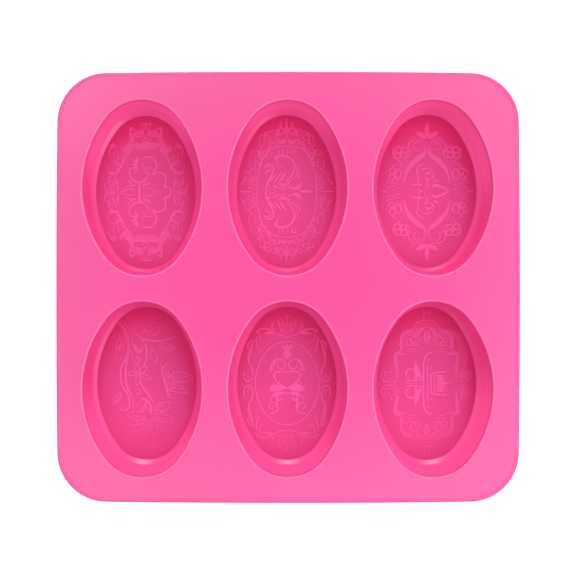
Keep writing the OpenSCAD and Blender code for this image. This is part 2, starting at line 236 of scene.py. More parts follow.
def plate(outer, holes, low, high, spacing):
    """A flat plate with holes: both faces in small triangles, and upright sides."""
    loops = [outer] + holes
    points = [tuple(p) for loop in loops for p in loop]
    edges, start = [], 0
    for loop in loops:
        n = len(loop)
        edges += [(start + i, start + (i + 1) % n) for i in range(n)]
        start += n
    reach = np.abs(outer).max(0)
    grid = np.array([(x + (row % 2) * spacing / 2, y)
                     for row, y in enumerate(np.arange(-reach[1], reach[1], spacing * ROW_PITCH))
                     for x in np.arange(-reach[0], reach[0], spacing)])
    keep = inside(grid, outer)
    rims = np.concatenate(loops)
    for i in np.flatnonzero(keep):
        keep[i] = np.hypot(*(rims - grid[i]).T).min() > spacing * EDGE_GAP
    for hole in holes:
        keep &= ~inside(grid, hole)
    points += [tuple(p) for p in grid[keep]]
    verts, _, tris, *_ = geometry.delaunay_2d_cdt([Vector(p) for p in points], edges, [], 1, 1e-6)
    flat = np.array([tuple(v) for v in verts])
    tris = np.array(tris)
    middle = flat[tris].mean(1)
    good = inside(middle, outer)
    for hole in holes:
        good &= ~inside(middle, hole)
    tris = tris[good]
    n = len(flat)
    faces = [tuple(t) for t in tris] + [tuple(t[::-1] + n) for t in tris]
    seen = {(a, b) for t in tris for a, b in zip(t, np.roll(t, -1))}
    for a, b in sorted(seen):
        if (b, a) not in seen:
            faces.append((b, a, a + n, b + n))
    return np.concatenate([at_height(flat, high), at_height(flat, low)]), faces


# ---------------------------------------------------------------- materials

# noise: scale to the metre, and detail
TINT_CLOUDS = (28, 3)
SHEEN_CLOUDS = (90, 4)
SKIN_GRAIN = (2600, 5)
SHEEN_SPREAD = 0.05          # how far roughness varies either way
SKIN_STRENGTH, SKIN_DEPTH = 0.25, 0.0001
SILICONE_IOR = 1.43
EDGE_SHADE_REACH = 0.35             # how far in from the edge the painted shade at the edges gives way to the full colour
RELIEF_RISE = 0.42           # height of an ordinary line of an ornament, in millimetres


def silicone(name, colour, cloud_and_edge_shade_colour, rough, gloss, edge_shade=None, raised_tint=None):
    """Moulded silicone: uneven sheen and a fine skin over a tint.

    The tint is cloudy, or darker towards the piece's edges as painted shade: the edge-shade argument holds
    its middle, as shares of the piece's width and length, and how fast it changes away from there.
    raised_tint multiplies the colour of an ornament's highest parts.
    """
    material = bpy.data.materials.new(name)
    material.use_nodes = True
    tree = material.node_tree
    nodes, links = tree.nodes, tree.links
    shader = nodes["Principled BSDF"]
    where = nodes.new("ShaderNodeTexCoord")

    def cloud(scale, detail):
        node = nodes.new("ShaderNodeTexNoise")
        node.inputs["Scale"].default_value = scale
        node.inputs["Detail"].default_value = detail
        links.new(where.outputs["Object"], node.inputs["Vector"])
        return node

    tint = nodes.new("ShaderNodeValToRGB")
    first, last = tint.color_ramp.elements
    first.color, last.color = (*cloud_and_edge_shade_colour, 1), (*colour, 1)
    # painted shade: the colour darkens away from a middle, towards the piece's edges
    if edge_shade:
        x, y, rate = edge_shade
        tint.color_ramp.interpolation = "EASE"
        middle = nodes.new("ShaderNodeMapping")
        middle.inputs["Location"].default_value = (-rate * x, -rate * y, 0)
        middle.inputs["Scale"].default_value = (rate, rate, 0)
        dome = nodes.new("ShaderNodeTexGradient")
        dome.gradient_type = "SPHERICAL"
        links.new(where.outputs["Generated"], middle.inputs["Vector"])
        links.new(middle.outputs["Vector"], dome.inputs["Vector"])
        links.new(dome.outputs["Fac"], tint.inputs["Fac"])
        first.position, last.position = 0.0, EDGE_SHADE_REACH
    else:
        links.new(cloud(*TINT_CLOUDS).outputs["Fac"], tint.inputs["Fac"])
        first.position, last.position = 0.3, 0.7
    surface = tint.outputs["Color"]
    if raised_tint:
        split = nodes.new("ShaderNodeSeparateXYZ")
        links.new(where.outputs["Object"], split.inputs["Vector"])
        height = nodes.new("ShaderNodeMapRange")
        height.inputs["From Min"].default_value = FLOOR_TOP * MM
        height.inputs["From Max"].default_value = (FLOOR_TOP + RELIEF_RISE) * MM
        links.new(split.outputs["Z"], height.inputs["Value"])
        lighter = nodes.new("ShaderNodeMix")
        lighter.data_type = "RGBA"
        lighter.blend_type = "MULTIPLY"
        lighter.clamp_result = False
        links.new(height.outputs["Result"], lighter.inputs["Factor"])
        links.new(surface, lighter.inputs["A"])
        lighter.inputs["B"].default_value = (*raised_tint, 1)
        surface = lighter.outputs["Result"]
    links.new(surface, shader.inputs["Base Color"])

    sheen = nodes.new("ShaderNodeMapRange")
    sheen.inputs["To Min"].default_value = rough - SHEEN_SPREAD
    sheen.inputs["To Max"].default_value = rough + SHEEN_SPREAD
    links.new(cloud(*SHEEN_CLOUDS).outputs["Fac"], sheen.inputs["Value"])
    links.new(sheen.outputs["Result"], shader.inputs["Roughness"])

    skin = nodes.new("ShaderNodeBump")
    skin.inputs["Strength"].default_value = SKIN_STRENGTH
    skin.inputs["Distance"].default_value = SKIN_DEPTH
    links.new(cloud(*SKIN_GRAIN).outputs["Fac"], skin.inputs["Height"])
    links.new(skin.outputs["Normal"], shader.inputs["Normal"])
    shader.inputs["IOR"].default_value = SILICONE_IOR
    shader.inputs["Specular IOR Level"].default_value = gloss
    return material


GLOW_SHIFT = (0.05, 0, 0)
GLOW_RATE = (0.70, 1.08)     # how fast the glow grows towards the sides and towards the ends
GLOW_STOPS = (0.08, 0.28)    # values of the round gradient at the outer and at the inner colour


def paint_wall_glow(material, inner, outer):
    """Painted glow: thin upright walls glow a little, and more round the outside, standing in for the
    light that comes through them from behind.
    """
    nodes, links = material.node_tree.nodes, material.node_tree.links
    shader = nodes["Principled BSDF"]
    where = nodes.new("ShaderNodeTexCoord")
    reach = nodes.new("ShaderNodeMapping")
    reach.inputs["Location"].default_value = GLOW_SHIFT
    reach.inputs["Scale"].default_value = (GLOW_RATE[0] / HALF_W / MM, GLOW_RATE[1] / HALF_L / MM, 0)
    dome = nodes.new("ShaderNodeTexGradient")
    dome.gradient_type = "SPHERICAL"
    glow = nodes.new("ShaderNodeValToRGB")
    glow.color_ramp.interpolation = "EASE"
    for stop, colour, position in zip(glow.color_ramp.elements, (outer, inner), GLOW_STOPS):
        stop.color, stop.position = (*colour, 1), position
    links.new(where.outputs["Object"], reach.inputs["Vector"])
    links.new(reach.outputs["Vector"], dome.inputs["Vector"])
    links.new(dome.outputs["Fac"], glow.inputs["Fac"])
    links.new(glow.outputs["Color"], shader.inputs["Emission Color"])

    split = nodes.new("ShaderNodeSeparateXYZ")
    links.new(where.outputs["Object"], split.inputs["Vector"])

    def by_height(low, high, start, end):
        node = nodes.new("ShaderNodeMapRange")
        node.interpolation_type = "SMOOTHSTEP"
        links.new(split.outputs["Z"], node.inputs["Value"])
        node.inputs["From Min"].default_value = low * MM
        node.inputs["From Max"].default_value = high * MM
        node.inputs["To Min"].default_value = start
        node.inputs["To Max"].default_value = end
        return node.outputs["Result"]

    # the painted glow's strength: none at the resting plane, half at the bevel's foot, and none at the lip
    share = by_height(0, FLOOR_TOP, 0, 1)
    for span in ((FLOOR_TOP, FLOOR_TOP + 1.5 * BEVEL_H, 0.5, 1),
                 (DECK_UNDER - 0.5, DECK_UNDER + 1.5, 1, 0)):
        both = nodes.new("ShaderNodeMath")
        both.operation = "MULTIPLY"
        links.new(share, both.inputs[0])
        links.new(by_height(*span), both.inputs[1])
        share = both.outputs["Value"]
    links.new(share, shader.inputs["Emission Strength"])


# painted shade: the sheet's colour darkens towards its left and far edges
SHEET_EDGE_SHADE, CUP_EDGE_SHADE = (0.62, 0.42, 1.6), (0.46, 0.37, 1.7)
SHEET = silicone("silicone_sheet", (0.70, 0.060, 0.242), (0.62, 0.058, 0.230), 0.17, 0.5, SHEET_EDGE_SHADE)
# painted highlight: the lip's paler colour stands in for the light caught by its rounded edge
LIP_HIGHLIGHT = silicone("silicone_lip_painted_highlight", (0.72, 0.100, 0.29), (0.70, 0.095, 0.28), 0.34, 0.5)
WALL = silicone("silicone_wall", (0.69, 0.052, 0.235), (0.67, 0.049, 0.225), 0.24, 0.5)
# painted shade: the floors and ornaments are the silicone's pink made darker than the sheet's, and darker
# still towards the floor's edges, most at the far and right sides, where the walls shade them
FLOOR = silicone("silicone_floor", (0.57, 0.045, 0.20), (0.56, 0.018, 0.130), 0.50, 0.12, CUP_EDGE_SHADE)
RAISED = silicone("silicone_raised", (0.57, 0.046, 0.205), (0.58, 0.030, 0.155), 0.45, 0.15, CUP_EDGE_SHADE,
                  raised_tint=(1.2, 1.9, 1.5))
# painted glow: the walls' emission colours, inside the mould and round its outside
paint_wall_glow(WALL, (0.130, 0.011, 0.046), (0.26, 0.042, 0.122))


# ---------------------------------------------------------------- ornament lines, in millimetres

STEP = 0.1                   # spacing of the points along a line
LINE = 0.7                   # ordinary line width


def dense(points, widths):
    """The same line with points every STEP: x, y, width and share of the full height."""
    p, w = np.array(points, float), np.array(widths, float)
    along = np.concatenate([[0], np.cumsum(np.hypot(*np.diff(p, axis=0).T))])
    t = np.linspace(0, along[-1], max(2, int(along[-1] / STEP) + 1))
    x, y, width = (np.interp(t, along, values) for values in (p[:, 0], p[:, 1], w))
    return np.column_stack([x, y, width, np.ones(len(t))])


def tapered(points, w, thin=0.7):
    """One stroke: full width w in the middle, thinner at both ends."""
    t = np.linspace(0, 1, len(points))
    return [dense(points, w * (thin + (1 - thin) * np.sin(math.pi * t)))]


def line(*points, w=LINE):
    return [dense(points, [w] * len(points))]


def curl(c, r0, r1, a0, a1, w=LINE, thin=0.75):
    """Round about c, with the radius going from r0 to r1 as the angle goes from a0 to a1."""
    t = np.linspace(0, 1, max(6, int(abs(a1 - a0) / 6)))
    a, r = np.radians(a0 + (a1 - a0) * t), r0 + (r1 - r0) * t
    return tapered(np.column_stack([c[0] + r * np.cos(a), c[1] + r * np.sin(a)]), w, thin)


def bow(c, r, a0, a1, w=LINE, thin=0.75):
    return curl(c, r, r, a0, a1, w, thin)


def ring(c, r, w=LINE):
    return curl(c, r, r, 0, 360, w, 1)


def oval_line(c, a, b, a0, a1, w=LINE):
    t = np.radians(np.linspace(a0, a1, 60))
    return tapered(np.column_stack([c[0] + a * np.cos(t), c[1] + b * np.sin(t)]), w, 1)


def flow(*points, w=LINE, thin=0.75):
    """A smooth stroke through all of the points."""
    p = np.array(points, float)
    p = np.concatenate([[2 * p[0] - p[1]], p, [2 * p[-1] - p[-2]]])
    t = np.linspace(0, 1, 8, endpoint=False)[:, None]
    spans = [b + (c - a) * t / 2 + (2 * a - 5 * b + 4 * c - d) * t ** 2 / 2
             + (3 * b - a - 3 * c + d) * t ** 3 / 2
             for a, b, c, d in zip(p, p[1:], p[2:], p[3:])]
    return tapered(np.concatenate(spans + [p[-2:-1]]), w, thin)


def low(strokes, share=0.6):
    """The same strokes, less high: broad filled patches stand lower than the lines."""
    return [s * [1, 1, 1, share] for s in strokes]


def bolder(strokes, share=1.2):
    return [s * [1, 1, share, 1] for s in strokes]


def sweep(a, b, c, d, w=LINE, thin=0.75):
    """A smooth stroke from a to d, drawn towards b and then c."""
    t = np.linspace(0, 1, 24)[:, None]
    a, b, c, d = (np.array(p, float) for p in (a, b, c, d))
    s = 1 - t
    return tapered(s ** 3 * a + 3 * s * s * t * b + 3 * s * t * t * c + t ** 3 * d, w, thin)


def leaf(base, angle, length, width):
    """A solid leaf that tapers to both ends."""
    t = np.linspace(0, 1, 20)
    way = np.array([math.cos(math.radians(angle)), math.sin(math.radians(angle))])
    points = np.array(base) + np.outer(t * length, way)
    return [dense(points, width * np.sin(math.pi * t ** 0.85) ** 0.8 + 0.25)]


def leaf_outline(base, angle, length, width, w=LINE):
    """Two bowed strokes that meet at both tips."""
    out = []
    turn = math.radians(angle)
    along = np.array([math.cos(turn), math.sin(turn)])
    across = np.array([-along[1], along[0]])
    t = np.linspace(0, 1, 20)
    for side in (1, -1):
        bulge = side * (width - w) / 2 * np.sin(math.pi * t ** 0.85)
        out += tapered(np.array(base) + np.outer(t * length, along) + np.outer(bulge, across), w, 0.8)
    return out


def around(c, angle, across, along):
    """A point on the oval about c that reaches across in x and along in y."""
    turn = math.radians(angle)
    return c[0] + across * math.cos(turn), c[1] + along * math.sin(turn)


def dot(c, d):
    return [np.array([[c[0], c[1], d, 1]])]


def worn(strokes):
    """The same strokes, shallower towards the ornament's front end."""
    out = []
    for s in strokes:
        share = s[:, 3] * np.interp(s[:, 1], (-27, -12), (0.5, 1))
        out.append(np.column_stack([s[:, :3], share]))
    return out


def flip(strokes, x, y):
    return [s * [x, y, 1, 1] for s in strokes]


def both_sides(strokes):
    return strokes + flip(strokes, -1, 1)


def both_ends(strokes):
    return strokes + flip(strokes, 1, -1)


def four_ways(strokes):
    return both_ends(both_sides(strokes))


# ---------------------------------------------------------------- the six ornaments

def leaf_cartouche():
    quarter = (
        # crest
        line((0, 33.2), (2.6, 33.2)) + flow((1.6, 32.2), (1.3, 29), (0.3, 26)) + line((0, 33), (0, 31))
        + low(line((2.8, 28.9), (4.6, 28.7), w=2.8)) + line((2.2, 27.2), (4.6, 27))
        + ring((6.3, 29.5), 1.2)
        + line((6.4, 31.5), (7.7, 31.1), (7.9, 27.6)) + low(line((6.8, 27.2), (7.3, 24.4), w=2.4))
        + low(line((0, 22.7), (5, 22.7), w=2.2)) + line((0, 23.8), (5, 23.8)) + line((2, 25.8), (0.4, 24))
        + bow((1.3, 22.2), 1.2, 200, 340) + bow((3.8, 22.2), 1.2, 200, 340)
        # spray beside it, and the straight side
        + flow((5.5, 24.2), (7.2, 20.6), (9.9, 17)) + low(line((7.8, 23), (9.4, 19.6), w=3.2))
        + flow((8.2, 24.4), (10, 22), (10.6, 19.6)) + flow((10.4, 17.2), (12, 13.2), (13.8, 9.8), w=1.1)
        # wing
        + low(line((10.8, 20.4), (12, 21.8), w=1.8))
        + flow((14.2, 21.4), (15.4, 23.6), (17, 22.6), (18, 19.5), (17, 16.4))
        + flow((15.5, 20), (16, 18), (15.2, 16.4)) + flow((13.2, 18.8), (13.7, 17), (12.4, 15.6))
        + low(dot((16.1, 22.2), 2.2)) + low(line((13, 13.4), (14.6, 14.8), w=1.8))
        + line((15.4, 15.6), (17.2, 14.6))
        # bracket and side scrolls
        + low(line((14.4, 9.4), (17.6, 9.4), w=1.6), 0.8) + line((14.3, 11.8), (13.6, 10))
        + line((18.9, 12.8), (18.1, 10))
        + flow((15, 6.6), (13.9, 4), (13.8, 1), w=1) + flow((16.4, 8.4), (18, 7), (18.3, 4))
        + ring((16.8, 4.4), 1.2)
        + flow((15.4, 3.2), (16.8, 1.6), (18.4, 1.9)) + flow((19.6, 5), (20.3, 2.6), (19.4, 0.4))
        + low(line((15.6, 0), (18.8, 0), w=1.8)))
    petals = sum((leaf(around((-3.4, 13.2), a, 1, 1), a, 3.4, 0.8) for a in (108, 138, 172, 206, 240)), [])
    heart_part = (
        bow((-3.4, 9.6), 4.7, 150, 343, 1) + bow((0.8, 12.9), 4.4, 128, -58, 1) + petals
        + flow((-1.9, 15.4), (-1.8, 12.2), (-0.4, 11.6), (0.2, 10), (2.4, 8.4))
        + line((0.2, 11.9), (2.9, 11.9))
        + flow((3.4, 8.6), (6.6, 9.6), (9, 8.6), (9.7, 6), (9.2, 3), (10.6, 2.3), (12, 1.2), (12.3, 0),
               w=1)
        + line((-12, 0.3), (-8, 1.7), (-6, 1.5)) + flow((-9.8, 2.4), (-8, 3.3), (-5.4, 3.1))
        + flow((-9.2, 6.6), (-7.6, 4.6), (-5, 3.4)) + flow((-1.6, 1.6), (2.4, 1.8), (4.6, 1.1))
        + flow((-1.6, 2.8), (1.4, 4), (2.8, 5.8)) + line((-1.4, 3.9), (0.8, 4.7))
        + line((-3.2, 0), (-3.2, 4.4), w=1))
    return bolder(four_ways(quarter) + both_ends(heart_part)) + leaf_outline((2.8, 0), 0, 4.4, 1.7)


def lace_palmette():
    w = 0.6
    lace = (
        flow((14.5, 0), (14.3, 5), (13.3, 11), (11.6, 16), (8.6, 20), (4.5, 21.7), (0, 22.3))
        # finials
        + line((0, 26.4), (0, 35), w=0.75) + line((2.5, 33.6), (3.3, 31))
        + curl((2.3, 29.5), 1.5, 1.3, -60, 250, w)
        + flow((0.6, 31), (2.4, 27.8), (3.8, 27.4), w=w)
        + flow((0.8, 25.6), (2.2, 23.4), (3.6, 25.4), w=w)
        + curl((6.1, 28.7), 1.5, 0.9, -40, 300, w) + flow((4.4, 30.8), (4.4, 28), (5.2, 26.6), w=w)
        + curl((9.2, 26), 1.7, 0.9, -30, 320, w) + flow((7.6, 29), (9.4, 29), (10.6, 27.8), w=w)
        + line((11, 28.4), (10.9, 23.8), w=w) + curl((12.6, 23.2), 1.6, 0.9, 150, 430, w)
        + bow((12.2, 26.2), 1.1, -70, 150, w)
        # row along the oval
        + curl((1.4, 24.2), 0.9, 0.9, -30, 200, w) + curl((4.6, 24.2), 1.3, 0.8, -30, 250, w)
        + dot((4.7, 22.8), 0.9)
        + curl((7.5, 23.2), 1.3, 0.7, 200, -80, w) + dot((6.2, 25.8), 0.9) + dot((8.2, 21.6), 0.9)
        + curl((9.6, 21.2), 1.2, 0.8, 90, 360, w) + curl((10.7, 18.5), 1.5, 0.9, -140, 150, w)
        + dot((12.4, 20.8), 0.9)
        + dot((12.2, 16.4), 1) + flow((12.6, 19), (13.2, 17.6), (12.8, 15.6), w=w)
        + curl((15, 18.7), 1.6, 0.9, 60, 350, w) + line((13.2, 20.4), (13.3, 18), w=w)
        + flow((16.8, 20), (17.4, 18.6), (17.2, 17.2), w=w)
        # sides
        + flow((15.5, 15.8), (15.4, 12.6), (16.7, 10.9), (18.2, 12.4), (18.3, 16), w=w)
        + curl((14.1, 13.3), 1.2, 0.8, 20, 300, w)
        + dot((16.8, 13.4), 0.9) + curl((16, 8), 1.3, 0.9, 100, 400, w)
        + curl((19, 8.7), 1.4, 0.9, -60, 240, w)
        + dot((17.5, 9.9), 0.8) + dot((14.8, 10.2), 0.8) + dot((17.6, 6.7), 0.8)
        + curl((15.8, 5.2), 1.1, 0.8, -90, 200, w) + curl((15.8, 2.4), 1.2, 0.8, -150, 150, w)
        + curl((18.7, 4.6), 1.3, 0.8, 60, 360, w) + dot((17.3, 3.6), 0.8) + dot((18.4, 1.9), 1)
        + line((20.3, 5.4), (22.4, 3.6), w=0.7) + line((20, 7.2), (20.8, 5.8), w=w)
        + line((17.4, 0), (22.6, 0), w=0.8))
    dots = sum((dot(c, 1.1) for c in ((-8, 1.1), (-6.4, 2.5), (-8.5, 2.9), (-5, 2.3), (-6.2, 0.9))), [])
    fringe = sum((line((x, 18.2), (x + 0.1, 20)) for x in (-4, -2, 0.4, 2.4)), [])
    fan = (
        flow((-10.2, 0), (-10, 2), (-9, 5), (-7.2, 8.4), (-6.5, 11), w=1)
        + bow((-8.7, 11.1), 2.3, -5, 165, 1)
        + curl((-8.9, 11), 1.2, 0.8, 130, -130) + bow((-9.6, 8.9), 0.9, 30, 250)
        + leaf((-8.2, 5), 47, 5, 0.7) + leaf((-6.2, 4.4), 53, 6.3, 0.75) + leaf((-3.8, 4.5), 55, 6.4, 0.8)
        + flow((0.3, 5.2), (2.6, 8), (3.9, 11.6), (3.4, 14), (1.5, 16.3), (-1.5, 17.3), (-4.2, 17.2),
               (-5.6, 16.4), w=1)
        + flow((0.8, 4.4), (4, 6.8), (5.1, 9.8), (5.2, 13)) + flow((5, 7.2), (6.4, 8.4), (6.1, 10.2))
        + line((5.2, 6), (6.6, 7))
        + flow((-4.4, 3.9), (-1.6, 3.6), (1.2, 3.8)) + line((-4.5, 1.9), (-1, 1.5))
        + line((-3.2, 2.9), (-0.6, 2.6))
        + flow((0.5, 2.6), (3.4, 1.3), (5.8, 1.5), (6.6, 3), (7.1, 4.5), w=1)
        + flow((5, 3.6), (5.4, 2.6), (4.4, 2.2))
        + flow((-4.2, 16.4), (-5.6, 15.4), (-4.3, 14), (-5.4, 12.8)) + line((-4.2, 12.1), (-2.6, 12.1))
        + dots + fringe + bow((3.6, 19.2), 0.9, -60, 180))
    return bolder(four_ways(lace) + both_ends(fan), 1.25) + leaf((6.3, 0), 0, 6.8, 1.6)


def damask_scrolls():
    side = (
        low(flow((11.2, 4.2), (9.8, 9.8), (7.2, 13.4), (4, 16.2), (1.5, 18), (0.5, 20),
                 w=3.2, thin=0.25), 0.8)
        + flow((12.4, 4.6), (12.2, 8), (11, 12), (9.4, 15)) + line((11.2, 4.2), (10.8, 7.4))
        + flow((1, 18), (0.9, 21), (2.2, 24), (5, 25.3), (8, 24), (9.3, 21), (8.6, 19), w=0.95)
        + flow((3, 22.4), (4.6, 24), (6.4, 22.8), (6.2, 20.6), (4.6, 19.6), w=0.9) + dot((7.4, 20), 1.2)
        + dot((3.8, 20.4), 1)
        + low(leaf((0.3, 26), 27, 5.8, 3), 0.9) + line((5.4, 26.4), (7.6, 26.2), w=0.6)
        # lace
        + ring((11, 20.2), 1.4, 0.95) + ring((14, 20), 1.5, 0.95) + ring((11.4, 17.5), 1.4, 0.95)
        + ring((14.6, 17.3), 1.5, 0.95) + line((12.2, 16.4), (14, 18.8), w=0.9)
        + bow((10.6, 18.6), 2.4, 120, 250, 0.9)
        + bow((13.8, 19), 2.8, -70, 40, 0.9)
        + line((11.6, 14.6), (13.4, 13.2), w=0.7) + line((11.8, 13), (13.2, 11.9), w=0.7)
        + line((13, 15.2), (14.6, 14), w=0.7)
        + line((15.2, 13.2), (17, 12.2), w=0.8) + oval_line((14, 8.4), 1.3, 2.4, 0, 360, 0.9)
        + ring((16.8, 9.9), 1.4, 0.9) + ring((17.3, 6.8), 1.3, 0.9) + bow((18.2, 9), 1.7, -70, 90)
        + dot((15.8, 6), 1)
        + line((13, 3), (16.4, 3.7), (19.6, 4.4), w=0.7)
        + flow((12.8, 1), (15, 1.9), (17.4, 2.3), (20, 0.6), w=0.7)
        + dot((18.6, 2.6), 1) + dot((19.9, 4.6), 0.9) + dot((14.6, 0.6), 0.9) + dot((14.4, 5), 0.9)
        + dot((16.6, 0.9), 0.8))
    middle = (
        leaf((0, 27), 90, 6.6, 2.4)
        + flow((-1.6, 13.3), (-3.6, 12.6), (-4.8, 10.8), (-4.7, 8.8), (-4.2, 5), (-4.3, 3.4), w=1)
        + line((-7.2, 3.1), (-2.6, 3.2), w=1.1)
        + flow((-3.6, 9.7), (-1.6, 10.9), (1, 10.9), (2.7, 9.6), (2.4, 7.6), w=0.9)
        + flow((-1, 8), (0.4, 9.2), (1.8, 8.2), w=1) + dot((0.4, 8.3), 1.3)
        + flow((-1.5, 5.8), (-0.2, 6), (-0.3, 3.4), (-1, 0.8), w=0.9) + bow((1.1, 4.4), 1.2, 80, 280)
        + leaf((2, 6), 42, 2.8, 1.1) + leaf((3, 4.7), 20, 3, 1) + leaf((3, 3.2), 350, 3.8, 1)
        + flow((2.2, 2.2), (5, 2.6), (8.2, 1.5), (10.3, 0), w=1.4) + bow((-3, 1.2), 1.1, 100, 300)
        + dot((0.8, 2), 1.1))
    return four_ways(side) + both_ends(middle) + both_sides(line((20.2, 0), (22.4, 0), w=1))


def vine_and_butterfly():
    stems = (
        sweep((-13.6, 29), (-9, 25.4), (-9.2, 20), (-9.2, 15.4), 1.1)
        + line((-9.2, 15.6), (-9.6, 12.2), w=1.1)
        + sweep((-11, 29), (-8.2, 26.2), (-8.4, 24), (-8.7, 22))
        + sweep((-10.4, 11.8), (-13.9, 8), (-13.9, 0), (-9.8, -5), 1.15, 0.9)
        + sweep((-9.7, 11.2), (-11, 7), (-11.4, 0), (-7.8, -5.4), 1.15, 0.9)
        + sweep((-9.8, -5), (-8, -8), (-8, -13.4), (-11, -13.4), 1.1)
        + curl((-11.6, -12.2), 1.2, 0.8, -90, -250)
        + sweep((-7.8, -5.4), (-6.4, -8), (-7, -11), (-6.6, -14.4)) + bow((-9, -4.4), 0.9, 0, 180)
        + sweep((-3.2, 0.8), (-2.2, -2.8), (1.4, -6), (3.2, -9.6), 1.1)
        + curl((-4.4, -4.4), 1.5, 0.9, 120, -140, 0.9))
    tendrils = (
        sweep((-7.6, 27.6), (-5.6, 23.6), (-1.4, 23), (-0.2, 26.4))
        + curl((-2, 25.8), 1, 0.6, 120, -120, 0.8)
        + sweep((-7, 24.6), (0, 19.4), (7, 19.4), (13.6, 22.8), 1.1)
        + sweep((-3.4, 21.8), (0.4, 19.6), (0.6, 12), (-1.6, 8.6), 1.1)
        + sweep((-7.4, 20.4), (-6, 15.8), (-3.4, 12.4), (-2.3, 17), 1.1)
        + line((-2.3, 16.8), (-2.6, 18.6))
        + sweep((-5.8, 18.4), (-5, 16.4), (-3.8, 15), (-3.4, 16.6), 0.8)
        + sweep((-7.8, 17.4), (-7.8, 12), (-6.4, 10.2), (-4.8, 10.3))
        + curl((-4.5, 11.6), 1.3, 0.9, -100, 170, 1)
        + leaf_outline((0.8, 22.6), 40, 7.4, 3.7) + line((2.4, 23.6), (4.6, 25.4), w=0.7)
        + leaf_outline((5.8, 18.8), -16, 8.4, 3.8) + sweep((8, 18), (10, 16.4), (11, 18), (12.4, 17), 0.8)
        + leaf_outline((2.3, 16.6), -72, 7.6, 3.4)
        + leaf_outline((-11, 23.2), 240, 8.8, 4.2) + line((-12.2, 20.6), (-14.2, 16.8), w=0.8)
        + sweep((-15.6, 14.8), (-16.4, 10.8), (-12.6, 11.2), (-10, 13.6))
        + sweep((-15.4, 14.6), (-14, 12.8), (-12, 13), (-10.4, 14.8))
        + leaf_outline((-12.8, -4.2), 240, 7, 3.4) + line((-13.6, -6.4), (-15, -8.8), w=0.7))
    star = sum((leaf_outline(around((-4, 4.5), a, 0.6, 0.6), a, r, 2.8)
                for a, r in ((178, 5.2), (104, 4.8), (42, 5.2), (-24, 6.2), (-98, 5.4))), [])
    bud = (
        leaf_outline((-3.6, -14.4), 72, 7.4, 4.4)
        + sweep((-2.6, -7.4), (0.8, -8), (2.4, -11), (2.2, -14.2), 1.1)
        + leaf_outline((-1.9, -12.8), 62, 3.4, 2) + sweep((4, -14), (3.4, -10), (6, -9.4), (11.4, -9.4))
        + sweep((11.4, -9.4), (11.4, -12.4), (9, -14.4), (5.4, -14.4)) + ring((6.8, -12.2), 1.4))
    # the large flower, from each petal's turn and length
    middle = (1, -16.4)
    turns = ((174, 9.6), (200, 9.4), (226, 8.4), (258, 7.2), (292, 8.4), (330, 12), (356, 11), (122, 5.4),
             (58, 5.4))
    flower = []
    for a, r in turns:
        flower += leaf_outline(around(middle, a, 1.6, 1.4), a, r, 4.4, 0.65)
        flower += line(around(middle, a, 4, 3.6), around(middle, a, 0.8 * r, 0.76 * r), w=0.6)
    butterfly = (
        flow((7.2, 7), (8, 3), (9, -1), (10.4, -6.6), w=1.1) + flow((8.4, 3), (9.4, 0), (10.2, -4), w=0.7)
        + flow((7, 5), (7.6, 8), (10, 8.6), (12.8, 5.6), (10.8, 1.8))
        + line((8.6, 6.6), (10.2, 2.6), w=0.65)
        + line((10.4, 7), (10.6, 3.4), w=0.65)
        + flow((10, 1), (12.4, 4.6), (17, 5.4), (22, 3.4), (20.8, 1.2), (14, 0), (10.2, 0.4))
        + line((12, 1.6), (19.8, 3.2), w=0.65) + line((12.4, 3), (16.6, 4.3), w=0.65)
        + line((12, 0.8), (17.4, 1.3), w=0.65)
        + flow((10, -0.4), (16, -1.6), (19.6, -4.6), (15, -4.6), (10.6, -3))
        + line((12, -1.7), (17, -3.4), w=0.65)
        + sum((line((10.2 + 0.15 * k, -2 - 1.5 * k), (13 - 0.3 * k, -2.5 - 1.6 * k), w=0.75)
               for k in range(4)), [])
        + flow((7.4, 7), (6.8, 9), (7.6, 10.6), w=0.7) + flow((8, 7), (9.2, 9.4), (10.4, 9.8), w=0.7))
    return bolder(stems + tendrils + star + bud + worn(low(flower, 0.8)) + butterfly, 1.15)


